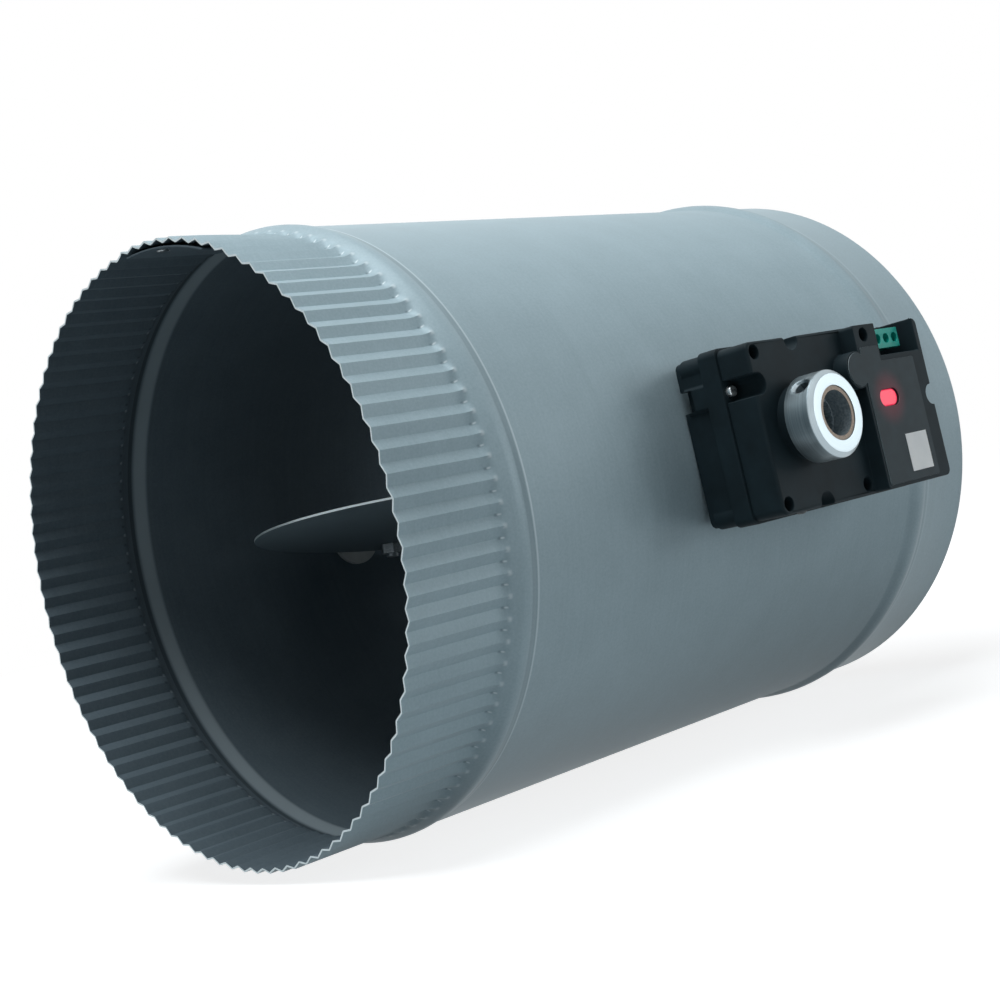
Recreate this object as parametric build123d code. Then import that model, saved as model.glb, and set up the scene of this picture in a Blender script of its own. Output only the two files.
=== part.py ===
from build123d import *
import math
import os

# Round zone damper: a sheet-metal duct section with a flat round blade on a cross shaft,
# turned through 90 degrees by a small geared actuator on the side of the duct.
# Millimetres. X runs along the duct, with 0 at the plain end's mouth and the crimped end at -X.
# The actuator stands on the -Y side, and +Z is up. The blade is modelled open as in the photo, with
# its crimped-end side tilted a little upwards.

# Duct
duct_bore = 203.2
sheet = 0.55
duct_length = 291.0
shaft_from_mouth = 145.5
bead_facets = 6
plain_bead_at = 33.2
plain_bead_width = 13.0
plain_bead_height = 2.0
crimp_bead_from_end = 43.8
crimp_bead_width = 10.0
crimp_bead_height = 0.9

# Crimped collar
crimp_count = 92
crimp_length = 36.0
crimp_fade = 2.5
crimp_depth = 1.4
crimp_end_proud = 0.01
rim_shrink = 2.0

# Lengthwise lap seam, measured round the duct from the actuator side towards the top
seam_from = 66.0
seam_to = 90.0
seam_rivet_angle = 83.0
seam_gap = 0.05
seam_edge_margin = 10.0
seam_bead_margin = 0.5
rivet_radius = 1.2
rivet_head_radius = 2.0
rivet_head_height = 0.6
rivet_head_seat = 0.15
rivet_rim_margin = 6.0
rivet_bead_margin = 5.0
rivet_end_margin = 3.0
rivet_tail_gap = 0.2

# Shaft, bearings and blade
shaft_radius = 6.35
shaft_running = 0.05
bush_wall = 1.2
bush_flange_radius = 11.5
bush_flange = 1.4
bush_fit = 0.05
bush_duct_gap = 0.2
idle_bush_stand = 3.2
shaft_idle_stub = 2.2
shaft_chamfer = 0.6
retainer_groove = 0.6
retainer_mouth = 8.8
retainer_radius = 9.0
retainer_thickness = 1.0
blade_tilt = 7.5
blade_thickness = 0.8
blade_edge_gap = 2.6
blade_seat_gap = 0.03
blade_flat = 0.6
blade_flat_extra = 1.0
blade_bolt_spacing = 77.0
blade_bolt_radius = 2.4
bolt_hole_gap = 0.1
bolt_head_flats = 8.0
bolt_head_height = 3.5
nut_height = 4.0
bolt_end = 1.4

# How far a cutting solid runs past the face it opens
past = 1.0
far_past = 5.0

# Actuator housing, measured from the shaft line: left and right along X, half-height along Z
housing_left = 19.5
housing_right = 71.0
housing_half = 27.7
housing_corner = 2.5
housing_wall = 2.0
back_gap = 0.2
tray_depth = 10.7
tray_inset = 0.5
rim_proud = 0.8
rim_depth = 7.2
cover_depth = 12.0
block_rise = 5.4
block_left = 32.0
boss_x = 30.0
boss_z = 13.0
boss_radius = 6.3
channel_radius = 3.5
side_channel_z = 14.3
side_channel_depth = 6.0
mount_channel_x = 4.5
right_channel_z = 0.7
right_channel_inset = 0.4
mount_channel_inset = 0.9
back_notch_width = 7.0
back_notch_depth = 5.3
foot_height = 9.0
foot_inset = 3.0
foot_length = 32.0
foot_reach = 6.0
cover_gap = 0.02
cover_chamfer = 0.6
block_corner = 1.2
back_notch_cut = 3.5
hub_post_wall = 3.0
hub_post_height = 3.0
hub_collar_wall = 2.5

# Cover screws
cover_screw_places = [(-16.0, 24.3), (-16.0, -24.3), (28.4, -24.3), (37.5, 24.3)]
screw_hole_radius = 2.35
screw_head_radius = 2.1
screw_head_height = 1.8
screw_shank_radius = 1.4
screw_shank_gap = 0.05
post_wall = 1.25
screw_grip = 9.0
screw_seat = 2.0
side_screw_head_extra = 0.6

# Mounting screws through the top and bottom channels into the duct
mount_screw_radius = 1.7
mount_screw_gap = 0.05
mount_head_radius = 2.7
mount_head_height = 2.2
mount_screw_tip = 0.7
mount_screw_inset = 1.6

# Hub sleeve, collar and what turns with them
sleeve_radius = 8.75
sleeve_bore_radius = 6.95
sleeve_running = 0.06
sleeve_start_gap = 0.4
serration_count = 16
serration_height = 0.55
serration_share = 0.6
serration_crest_share = 0.4
collar_radius = 14.1
collar_width = 10.3
collar_chamfer = 1.5
collar_stand = 4.1
hub_boss_radius = 12.0
hub_boss_height = 3.5
sleeve_recess = 0.3
mouth_depth = 7.0
mouth_radius = 7.3
shaft_recess = 9.0
set_screw_angle = 131.0
set_screw_radius = 2.4
set_screw_sink = 3.2
set_screw_sink_depth = 1.0
set_screw_length = 3.2
set_screw_gap = 0.05
set_screw_bite = 1.5
set_screw_socket = 1.4
set_screw_socket_depth = 1.5

# Gear train
tooth_pressure = 20.0
tooth_play = 0.12
addendum = 0.9
dedendum = 1.2
tooth_root_step = 0.05
output_teeth = 30
output_module = 1.0
pinion_teeth = 12
second_teeth = 30
second_module = 0.7
first_teeth = 30
first_module = 0.6
second_angle = -20.0
first_angle = 40.0
motor_angle = -50.0
axle_radius = 1.0
axle_running = 0.05
gear_face = 3.0
output_face = 5.0
fast_face = 2.6
gear_gap = 0.8
pinion_neck = 4.0

# Motor, plate, switches and board
motor_radius = 15.0
motor_depth = 8.0
motor_floor_gap = 0.1
motor_chamfer = 0.8
motor_shaft_grip = 3.0
motor_shaft_gap = 0.5
plate_thickness = 1.0
plate_gap = 0.3
plate_left = 16.7
plate_right = 56.0
plate_low = -20.0
plate_high = 9.0
plate_pillars = [(-13.8, -16.0), (17.0, 5.0), (52.8, 6.2)]
pillar_radius = 2.6
plate_screw_radius = 1.2
plate_screw_head = 2.1
plate_screw_height = 1.4
pillar_screw_grip = 4.5
pillar_hole_depth = 5.0
gear_pin_gap = 0.1
sleeve_plate_gap = 1.0
cam_radius = 9.9
cam_lobe_radius = 11.0
cam_lobe_half_angle = 14.0
cam_foot_half_angle = 30.8
cam_foot_wall = 0.3
cam_thickness = 3.0
switch_length = 12.8
switch_depth = 5.4
switch_height = 6.2
switch_gap = 0.3
board_left = 41.5
board_right = 64.8
board_low = -23.5
board_high = 24.9
board_thickness = 1.6
board_pillars = [(61.5, -19.5), (61.5, 12.0)]
board_over_split = 0.8
relay_size = (12.5, 7.6, 9.0)
relay_place = (53.0, -12.5)

# Terminal block in its recess
pole_pitch = 5.08
pole_count = 3
terminal_right = 65.3
terminal_low = 19.3
terminal_high = 26.0
terminal_height = 10.5
terminal_screw_radius = 1.6
terminal_screw_gap = 0.05
terminal_screw_sink = 2.0
terminal_screw_length = 2.4
terminal_slot_width = 0.6
terminal_slot_length = 4.0
terminal_slot_depth = 0.7
wire_entry_width = 3.4
wire_entry_height = 3.6
wire_entry_depth = 4.5
wire_entry_floor = 2.0
recess_left = 45.0
recess_right = 68.6
recess_low = 16.6
recess_floor = 1.5
recess_board_gap = 0.5
recess_left_wall = 1.5
recess_right_wall = 1.0
terminal_clear = 0.1

# Light, overlay and label
led_x = 44.1
led_z = 2.3
led_length = 11.0
led_width = 5.6
led_sink = 0.4
led_lens_depth = 4.0
led_fit = 0.03
lamp_radius = 2.5
lamp_height = 6.0
lamp_chamfer = 1.6
overlay_thickness = 0.3
overlay_right = 63.6
overlay_margin = 1.2
overlay_recess_margin = 1.9
overlay_corner = 0.8
overlay_screw_margin = 4.2
overlay_boss_margin = 0.6
overlay_led_margin = 0.2
label_size = 12.8
label_x = 54.2
label_z = -17.3
label_thickness = 0.15

# Worked out from the sizes above
duct_in = duct_bore / 2
duct_out = duct_in + sheet
shaft_x = -shaft_from_mouth
crimp_bead_at = crimp_bead_from_end - duct_length
crimp_bead_right = crimp_bead_at + crimp_bead_width / 2
blade_radius = duct_in - blade_edge_gap
blade_high = blade_flat - shaft_radius - blade_seat_gap
blade_low = blade_high - blade_thickness
back_at = duct_out + back_gap
tray_top = back_at + tray_depth
split_at = tray_top + rim_depth
front_at = split_at + cover_depth
block_at = front_at + block_rise
floor_at = back_at + housing_wall
collar_low = front_at + collar_stand
collar_top = collar_low + collar_width
sleeve_top = collar_top - sleeve_recess
shaft_top = sleeve_top - shaft_recess
bush_radius = shaft_radius + shaft_running + bush_wall
bush_flange_in = math.sqrt(duct_in ** 2 - bush_flange_radius ** 2) - bush_duct_gap - bush_flange
idle_bush_end = duct_out + idle_bush_stand
mount_screw_z = housing_half - mount_screw_inset
plate_low_at = floor_at + motor_floor_gap + motor_depth + plate_gap
plate_top_at = plate_low_at + plate_thickness
fast_at = plate_top_at + gear_gap
mid_at = fast_at + fast_face + gear_gap
out_at = mid_at + gear_face + gear_gap
board_at = split_at + board_over_split
board_top = board_at + board_thickness
recess_floor_at = board_top + recess_board_gap + recess_floor
terminal_top = board_top + terminal_height
first_pole = terminal_right - pole_count * pole_pitch


def polar(radius, degrees, start=(0.0, 0.0)):
    """Point at a radius and angle in the plane of the housing's face."""
    turn = math.radians(degrees)
    return (start[0] + radius * math.cos(turn), start[1] + radius * math.sin(turn))


def gear_distance(teeth, module):
    return module * (teeth + pinion_teeth) / 2


second_place = polar(gear_distance(output_teeth, output_module), second_angle)
first_place = polar(gear_distance(second_teeth, second_module), first_angle, second_place)
motor_place = polar(gear_distance(first_teeth, first_module), motor_angle, first_place)


# Helpers. Heights are distances from the duct's axis towards the actuator, along -Y.
def face_plane(height):
    """Plane parallel to the housing's face, centred on the shaft, X right and Z up."""
    return Plane(origin=(shaft_x, -height, 0), x_dir=(1, 0, 0), z_dir=(0, -1, 0))


def rod(place, radius, low, high):
    return extrude(face_plane(low) * Pos(*place) * Circle(radius), high - low)


def slab(left, right, bottom, top, low, high, corner=0.0):
    outline = RectangleRounded(right - left, top - bottom, corner) if corner else Rectangle(
        right - left, top - bottom)
    middle = Pos((left + right) / 2, (bottom + top) / 2)
    return extrude(face_plane(low) * middle * outline, high - low)


def tube(place, inner, outer, low, high):
    return rod(place, outer, low, high) - rod(place, inner, low, high)


def along_duct(radius, start, end):
    """Solid cylinder on the duct's axis."""
    return extrude(Plane(origin=(start, 0, 0), z_dir=(1, 0, 0)) * Circle(radius), end - start)


def round_duct(x, radius, degrees):
    """Point on a circle about the duct's axis, from the actuator side towards the top."""
    turn = math.radians(degrees)
    return Vector(x, -radius * math.cos(turn), radius * math.sin(turn))


# Duct
def crimp_angles():
    """Crests and valleys in turn, one pair for each crimp."""
    half_pitch = 180.0 / crimp_count
    return [index * half_pitch for index in range(2 * crimp_count)]


def crimp_outline(x, crest_radius):
    points = []
    for index, degrees in enumerate(crimp_angles()):
        radius = crest_radius - crimp_depth * (index % 2)
        points.append(round_duct(x, radius, degrees))
    return Wire.make_polygon(points, close=True)


def faded_outline(x, radius):
    """Where the crimps run out: flats as wide as a crimp's two sides, just outside the round tube."""
    corner = (radius + crimp_end_proud) / math.cos(math.radians(90.0 / crimp_count))
    return Wire.make_polygon([round_duct(x, corner, degrees) for degrees in crimp_angles()], close=True)


def crimped_form(inset):
    """The collar's outer form, or its inner one when inset by the sheet."""
    rim = -duct_length
    return Solid.make_loft([
        crimp_outline(rim, duct_out - rim_shrink - inset),
        crimp_outline(rim + crimp_length, duct_out - inset),
        faded_outline(rim + crimp_length + crimp_fade, duct_out - inset),
    ], ruled=True)


def bead_profile(middle, width, height, radius):
    """A rolled bead's rounded crown, as short flats along a circular arc."""
    half = width / 2
    crown = (middle, 0, radius + height)
    arc = ThreePointArc((middle - half, 0, radius), crown, (middle + half, 0, radius))
    return [arc @ (step / bead_facets) for step in range(bead_facets + 1)]


def rolled_form(start, radius):
    """Lengthwise section of the plain tube with its two beads, spun about the duct's axis."""
    near_crimps = bead_profile(crimp_bead_at, crimp_bead_width, crimp_bead_height, radius)
    near_mouth = bead_profile(-plain_bead_at, plain_bead_width, plain_bead_height, radius)
    section = Polyline((start, 0, 0), (start, 0, radius), *near_crimps, *near_mouth,
                       (0, 0, radius), (0, 0, 0), close=True)
    return revolve(make_face(section), axis=Axis.X)


def duct_shell():
    plain_start = -duct_length + crimp_length + crimp_fade
    collar = crimped_form(0.0) - crimped_form(sheet)
    plain = rolled_form(plain_start, duct_out) - rolled_form(plain_start, duct_in)
    shell = Part() + collar + plain
    shell -= rod((0, 0), bush_radius + bush_fit, -duct_out - far_past, duct_out + far_past)
    for side in (-1, 1):
        place = (mount_channel_x, side * mount_screw_z)
        shell -= rod(place, mount_screw_radius + mount_screw_gap, duct_in / 2, duct_out + far_past)
    for x in rivet_places():
        shell -= seam_pin(x, rivet_radius, duct_out + past)
    return shell


# Lengthwise seam
def rivet_places():
    last = -plain_bead_at - seam_edge_margin - rivet_end_margin
    return [-duct_length + rivet_rim_margin, crimp_bead_right + rivet_bead_margin, last]


def seam_inner_radius(x):
    """Radius of the lap's inner face: it follows the valleys of the crimps, then the plain tube."""
    root = duct_in - crimp_depth
    share = (x + duct_length) / crimp_length
    outer = root - rim_shrink * (1 - share) if share <= 1 else duct_in
    return outer - seam_gap - sheet


def seam_pin(x, radius, reach):
    low = seam_inner_radius(x) - 2 * rivet_head_height
    seat = Plane(origin=round_duct(x, low, seam_rivet_angle), z_dir=round_duct(0, 1, seam_rivet_angle))
    return extrude(seat * Circle(radius), reach - low)


def lap_strip(section):
    """Turns a lengthwise section, drawn on the actuator side, into an arc of the seam's width."""
    upright = Plane(origin=(0, 0, 0), x_dir=(1, 0, 0), z_dir=(0, 0, 1))
    points = [upright.from_local_coords((x, -radius)) for x, radius in section]
    profile = make_face(Polyline(*points, close=True))
    turned = profile.rotate(Axis.X, -seam_from)
    return revolve(turned, axis=Axis.X, revolution_arc=-(seam_to - seam_from))


def seam_lap():
    rim = -duct_length
    root = rim + crimp_length
    joggle = root + crimp_fade
    bead_right = crimp_bead_right + seam_bead_margin
    plain_end = -plain_bead_at - seam_edge_margin
    inner = [(x, seam_inner_radius(x)) for x in (rim, root, joggle)]
    outer = [(x, radius + sheet) for x, radius in reversed(inner)]
    near = lap_strip(inner + outer)
    low, high = seam_inner_radius(0), seam_inner_radius(0) + sheet
    far = lap_strip([(bead_right, low), (plain_end, low), (plain_end, high), (bead_right, high)])
    strip = Part() + near + far
    for x in rivet_places():
        strip -= seam_pin(x, rivet_radius, duct_out + past)
    return strip


def seam_rivets():
    rivets = []
    for x in rivet_places():
        low = seam_inner_radius(x)
        outward = round_duct(0, 1, seam_rivet_angle)
        grip = duct_out - rivet_tail_gap - low
        if x < -duct_length + crimp_length:
            grip = sheet + crimp_depth / 2
        under = low - rivet_head_height - rivet_head_seat
        seat = Plane(origin=round_duct(x, under, seam_rivet_angle), z_dir=outward)
        head = extrude(seat * Circle(rivet_head_radius), rivet_head_height)
        shank = extrude(seat * Circle(rivet_radius), rivet_head_height + rivet_head_seat + grip)
        rivets.append(Part() + head + shank)
    return Compound(children=rivets)


# Blade and shaft
def drive_bearing():
    flange = tube((0, 0), shaft_radius + shaft_running, bush_flange_radius,
                  bush_flange_in, bush_flange_in + bush_flange)
    body = tube((0, 0), shaft_radius + shaft_running, bush_radius, bush_flange_in, duct_out + back_gap / 2)
    return flange + body


def idle_bearing():
    flange = tube((0, 0), shaft_radius + shaft_running, bush_flange_radius,
                  -bush_flange_in - bush_flange, -bush_flange_in)
    body = tube((0, 0), shaft_radius + shaft_running, bush_radius, -idle_bush_end, -bush_flange_in)
    return flange + body


def drive_shaft():
    end = -idle_bush_end - shaft_running - retainer_thickness - shaft_idle_stub
    shaft = rod((0, 0), shaft_radius, end, shaft_top)
    shaft = chamfer(shaft.edges().filter_by(GeomType.CIRCLE), shaft_chamfer)
    groove_low = -idle_bush_end - shaft_running - retainer_thickness
    shaft -= tube((0, 0), shaft_radius - retainer_groove, shaft_radius + past,
                  groove_low, groove_low + retainer_thickness)
    reach = blade_radius + blade_flat_extra
    below = Plane(origin=(shaft_x, 0, blade_flat - shaft_radius))
    flat = extrude(below * Rectangle(2 * far_past, 2 * reach), -far_past)
    for y in bolt_places():
        flat += blade_bolt_shank(y, blade_bolt_radius + bolt_hole_gap, -shaft_radius, shaft_radius + past)
    return shaft - tilted(flat)


def shaft_retainer():
    groove_low = -idle_bush_end - shaft_running - retainer_thickness
    groove_high = groove_low + retainer_thickness
    ring = tube((0, 0), shaft_radius - retainer_groove, retainer_radius, groove_low, groove_high)
    half = retainer_mouth / 2
    return ring - slab(-half, half, -retainer_radius - past, 0, groove_low - past, groove_high + past)


def bolt_places():
    return [-blade_bolt_spacing, 0.0, blade_bolt_spacing]


def blade_bolt_shank(y, radius, low, high):
    return extrude(Plane(origin=(shaft_x, y, low)) * Circle(radius), high - low)


def tilted(shape):
    """Turns a shape drawn level about the shaft, to lie as the open blade does."""
    return shape.rotate(Axis((shaft_x, 0, 0), (0, 1, 0)), blade_tilt)


def blade():
    plate = extrude(Plane(origin=(shaft_x, 0, blade_low)) * Circle(blade_radius), blade_thickness)
    for y in bolt_places():
        plate -= blade_bolt_shank(y, blade_bolt_radius + bolt_hole_gap, blade_low - past, blade_high + past)
    return tilted(plate)


def hexagon(y, low, high):
    radius = bolt_head_flats / math.sqrt(3)
    return extrude(Plane(origin=(shaft_x, y, low)) * RegularPolygon(radius, 6), high - low)


def blade_bolts():
    bolts = []
    seat = shaft_radius + blade_seat_gap
    end = blade_low - nut_height - bolt_end
    for y in bolt_places():
        head = hexagon(y, seat, seat + bolt_head_height)
        bolts.append(tilted(head + blade_bolt_shank(y, blade_bolt_radius, end, seat)))
    return Compound(children=bolts)


def blade_nuts():
    nuts = []
    top = blade_low
    for y in bolt_places():
        bore = blade_bolt_shank(y, blade_bolt_radius, top - nut_height - past, top + past)
        nuts.append(tilted(hexagon(y, top - nut_height, top) - bore))
    return Compound(children=nuts)


# Housing
def mount_channels():
    """Centres of the half-round channels in the top, bottom, left and right walls."""
    return [
        (mount_channel_x, housing_half - mount_channel_inset),
        (mount_channel_x, -housing_half + mount_channel_inset),
        (-housing_left + side_channel_depth - channel_radius, side_channel_z),
        (housing_right - right_channel_inset, right_channel_z),
    ]


def channel_mouths():
    """The straight part of each channel, out through the wall beside it."""
    top, bottom, left, right = mount_channels()
    reach = housing_half + far_past
    span = (split_at - past, block_at + past)
    half = channel_radius
    mouths = slab(top[0] - half, top[0] + half, top[1], reach, *span)
    mouths += slab(bottom[0] - half, bottom[0] + half, -reach, bottom[1], *span)
    return mouths + slab(-housing_left - far_past, left[0], left[1] - half, left[1] + half, *span)


def housing_slab(grow, low, high):
    return slab(-housing_left - grow, housing_right + grow, -housing_half - grow, housing_half + grow,
                low, high, housing_corner)


def post(place, radius, low, high, grow):
    return rod(place, radius, low, high) & housing_slab(grow, low, high)


def actuator_base():
    body = housing_slab(-tray_inset, back_at, tray_top) + housing_slab(rim_proud, tray_top, split_at)
    body -= housing_slab(-housing_wall - tray_inset, floor_at, split_at + past)
    for place in cover_screw_places:
        body += post(place, screw_hole_radius + post_wall, floor_at, split_at, rim_proud)
    for place in mount_channels():
        body += post(place, channel_radius + post_wall, floor_at, split_at, rim_proud)
    for place in plate_pillars:
        body += rod(place, pillar_radius, floor_at, plate_low_at)
    for place in board_pillars:
        body += rod(place, pillar_radius, floor_at, board_at)
    body += rod((0, 0), sleeve_radius + hub_post_wall, floor_at, floor_at + hub_post_height)
    body -= rod((0, 0), sleeve_radius + sleeve_running, back_at - past, split_at)
    body = body + mounting_foot(1) + mounting_foot(-1)
    for place in cover_screw_places:
        body -= rod(place, screw_shank_radius, split_at - screw_grip - past, split_at + past)
    side = mount_channels()[2]
    body -= rod(side, screw_shank_radius, split_at - screw_grip - past, split_at + past)
    for z in (-mount_screw_z, mount_screw_z):
        body -= rod((mount_channel_x, z), mount_screw_radius + mount_screw_gap, duct_in / 2, split_at + past)
    for place in plate_pillars:
        body -= rod(place, plate_screw_radius, plate_low_at - pillar_hole_depth, plate_low_at + past)
    for place in board_pillars:
        body -= rod(place, plate_screw_radius, board_at - pillar_hole_depth, board_at + past)
    body -= slab(-housing_left - past, -housing_left + tray_inset + back_notch_cut,
                 side_channel_z - back_notch_width / 2, side_channel_z + back_notch_width / 2,
                 back_at - past, back_at + back_notch_depth)
    return body


def mounting_foot(side):
    """Moulded foot behind the housing, hollowed to sit on the round duct."""
    outer_z = housing_half - tray_inset - foot_inset
    bottom, top = sorted((side * outer_z, side * (outer_z - foot_height)))
    half = foot_length / 2
    foot = slab(mount_channel_x - half, mount_channel_x + half, bottom, top, duct_out - foot_reach, back_at)
    return foot - along_duct(duct_out + cover_gap, -duct_length, 0)


def actuator_cover():
    shell = housing_slab(0.0, split_at + cover_gap, front_at)
    shell = chamfer(shell.faces().sort_by(Axis.Y)[0].edges(), cover_chamfer)
    block = slab(block_left, housing_right, -housing_half, housing_half,
                 front_at - past, block_at, block_corner)
    shell += block & housing_slab(0.0, front_at - past, block_at)
    shell += rod((boss_x, boss_z), boss_radius, front_at - past, block_at)
    inside = housing_wall + tray_inset
    shell -= housing_slab(-inside, split_at, front_at - housing_wall)
    shell -= slab(block_left + housing_wall, housing_right - inside, -housing_half + inside,
                  housing_half - inside, split_at, block_at - housing_wall)
    for place in cover_screw_places:
        top = block_at if place[0] > block_left else front_at
        shell += post(place, screw_hole_radius + post_wall, split_at + cover_gap, top - past, 0.0)
        shell -= rod(place, screw_hole_radius, split_at + screw_seat, top + past)
        shell -= rod(place, screw_shank_radius + screw_shank_gap, split_at - past, split_at + screw_seat)
    for place in mount_channels():
        top = block_at if place[0] > block_left else front_at
        shell += post(place, channel_radius + post_wall, split_at + cover_gap, top - past, 0.0)
        shell -= rod(place, channel_radius, split_at - past, top + past)
    shell -= channel_mouths()
    shell += rod((0, 0), sleeve_radius + hub_collar_wall, out_at + output_face + gear_gap, front_at)
    shell += rod((0, 0), hub_boss_radius, front_at, front_at + hub_boss_height)
    shell -= rod((0, 0), sleeve_radius + sleeve_running, split_at, block_at + past)
    shell += terminal_pocket()
    shell -= slab(recess_left, recess_right, recess_low, housing_half + past,
                  recess_floor_at, block_at + past)
    shell -= slab(first_pole - terminal_clear, terminal_right + terminal_clear,
                  terminal_low - terminal_clear, terminal_high + terminal_clear, board_top, block_at)
    shell -= led_plug(led_fit, block_at - led_lens_depth - past, block_at + past)
    return shell


def terminal_pocket():
    """Walls and floor of the recess, to be hollowed."""
    return slab(recess_left - recess_left_wall, recess_right + recess_right_wall,
                recess_low - recess_left_wall, housing_half,
                recess_floor_at - recess_floor, block_at - block_corner)


def led_plug(grow, low, high):
    outline = SlotOverall(led_length + 2 * grow, led_width + 2 * grow)
    return extrude(face_plane(low) * Pos(led_x, led_z) * outline, high - low)


# Screws
def headed_screw(place, shank, head, head_height, tip, seat):
    return rod(place, shank, tip, seat) + rod(place, head, seat, seat + head_height)


def cover_screws():
    seat = split_at + screw_seat
    screws = [headed_screw(place, screw_shank_radius, screw_head_radius, screw_head_height,
                           split_at - screw_grip, seat) for place in cover_screw_places]
    return Compound(children=screws)


def side_screw():
    return headed_screw(mount_channels()[2], screw_shank_radius, screw_head_radius + side_screw_head_extra,
                        screw_head_height, split_at - screw_grip, split_at)


def mounting_screws():
    tip = math.sqrt(duct_in ** 2 - mount_screw_z ** 2) - mount_screw_tip
    screws = [headed_screw((mount_channel_x, side * mount_screw_z), mount_screw_radius, mount_head_radius,
                           mount_head_height, tip, split_at) for side in (-1, 1)]
    return Compound(children=screws)


def plate_screws():
    screws = [headed_screw(place, plate_screw_radius, plate_screw_head, plate_screw_height,
                           plate_low_at - pillar_screw_grip, plate_top_at) for place in plate_pillars]
    return Compound(children=screws)


def board_screws():
    screws = [headed_screw(place, plate_screw_radius, plate_screw_head, plate_screw_height,
                           board_at - pillar_screw_grip, board_top) for place in board_pillars]
    return Compound(children=screws)


# Hub
def serration():
    """One inward tooth of the sleeve's bore, at the top."""
    pitch = 2 * math.pi * sleeve_bore_radius / serration_count
    half = pitch * serration_share / 2
    crest = half * serration_crest_share
    tip = sleeve_bore_radius - serration_height
    root = (sleeve_bore_radius + sleeve_radius) / 2
    return make_face(Polyline((-half, root), (-crest, tip), (crest, tip), (half, root), close=True))


def hub_sleeve():
    start = back_at + sleeve_start_gap
    ribbed_end = sleeve_top - mouth_depth
    sleeve = tube((0, 0), sleeve_bore_radius, sleeve_radius, start, sleeve_top)
    sleeve -= rod((0, 0), mouth_radius, ribbed_end, sleeve_top + past)
    pitch = 360 / serration_count
    ribs = Sketch() + [Rot(0, 0, pitch * index) * serration() for index in range(serration_count)]
    sleeve += extrude(face_plane(start) * ribs, ribbed_end - start)
    middle = (collar_low + collar_top) / 2
    sleeve -= set_screw_rod(set_screw_radius + set_screw_gap, 0, sleeve_radius + past, middle)
    return sleeve


def set_screw_plane(distance, height):
    place = polar(distance, set_screw_angle)
    turn = math.radians(set_screw_angle)
    return Plane(origin=(shaft_x + place[0], -height, place[1]), z_dir=(math.cos(turn), 0, math.sin(turn)))


def set_screw_rod(radius, start, end, height):
    return extrude(set_screw_plane(start, height) * Circle(radius), end - start)


def clamp_collar():
    ring = rod((0, 0), collar_radius, collar_low, collar_top)
    ring = chamfer(ring.faces().sort_by(Axis.Y)[0].edges(), collar_chamfer)
    ring -= rod((0, 0), sleeve_radius, collar_low - past, collar_top + past)
    middle = (collar_low + collar_top) / 2
    ring -= set_screw_rod(set_screw_radius, 0, collar_radius + past, middle)
    sink = set_screw_plane(collar_radius - set_screw_sink_depth, middle)
    mouth = sink.offset(set_screw_sink_depth)
    cone = loft([sink * Circle(set_screw_radius), mouth * Circle(set_screw_sink)])
    return ring - cone


def collar_set_screw():
    middle = (collar_low + collar_top) / 2
    start = sleeve_radius - set_screw_bite
    screw = set_screw_rod(set_screw_radius, start, start + set_screw_length, middle)
    socket_plane = set_screw_plane(start + set_screw_length - set_screw_socket_depth, middle)
    return screw - extrude(socket_plane * RegularPolygon(set_screw_socket, 6), set_screw_socket_depth + past)


def limit_cam():
    low = fast_at
    cam = tube((0, 0), sleeve_radius, cam_radius, low, low + cam_thickness)
    middle = -90 - blade_tilt
    span = [polar(cam_lobe_radius, middle + share * cam_lobe_half_angle) for share in (-1, 0, 1)]
    foot = [polar(sleeve_radius + cam_foot_wall, middle + share * cam_foot_half_angle) for share in (1, -1)]
    arc = ThreePointArc(*span)
    sides = Polyline(span[2], foot[0], foot[1], span[0])
    lobe = extrude(face_plane(low) * make_face(Curve() + [arc, sides]), cam_thickness)
    return cam + (lobe - rod((0, 0), sleeve_radius, low - past, low + cam_thickness + past))


# Gears
def flank_angle(radius, base):
    """Polar angle swept by an involute from its base circle out to a radius."""
    reach = math.sqrt(max(radius * radius - base * base, 0.0)) / base
    return reach - math.atan(reach)


def gear_outline(teeth, module, turn):
    """Involute teeth with two straight facets a flank; turn places the first tooth's middle."""
    pitch = module * teeth / 2
    base = pitch * math.cos(math.radians(tooth_pressure))
    root = pitch - dedendum * module
    radii = [max(base, root + tooth_root_step), pitch, pitch + addendum * module]
    half = math.pi / (2 * teeth) - tooth_play / (2 * pitch)
    spread = [half + flank_angle(pitch, base) - flank_angle(radius, base) for radius in radii]
    points = []
    for tooth in range(teeth):
        middle = math.radians(turn) + 2 * math.pi * tooth / teeth
        rising = [(root, middle - spread[0])] + [(r, middle - s) for r, s in zip(radii, spread)]
        falling = [(r, 2 * middle - a) for r, a in reversed(rising)]
        points += [(r * math.cos(a), r * math.sin(a)) for r, a in rising + falling]
    return make_face(Polyline(*points, close=True))


def gear(place, teeth, module, turn, low, face):
    return extrude(face_plane(low) * Pos(*place) * gear_outline(teeth, module, turn), face)


def output_gear():
    wheel = gear((0, 0), output_teeth, output_module, second_angle, out_at, output_face)
    return wheel - rod((0, 0), sleeve_radius, out_at - past, out_at + output_face + past)


def meshing_turn(wheel_turn, wheel_teeth, angle):
    """Turn of a pinion whose gap faces the wheel's tooth along the line of centres."""
    phase = (angle - wheel_turn) * wheel_teeth / pinion_teeth
    return angle + 180.0 + 180.0 / pinion_teeth + phase


def compound_gear(place, wheel, pinion):
    """A wheel and a smaller pinion above it, moulded as one, on a running bore for its pin."""
    wheel_top = wheel[-2] + wheel[-1]
    pinion_low, pinion_top = pinion[-2], pinion[-2] + pinion[-1]
    neck = rod(place, pinion_neck * pinion[1], wheel_top, pinion_low)
    body = gear(place, *wheel) + neck + gear(place, *pinion)
    return body - rod(place, axle_radius + axle_running, wheel[-2] - past, pinion_top + past)


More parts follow.
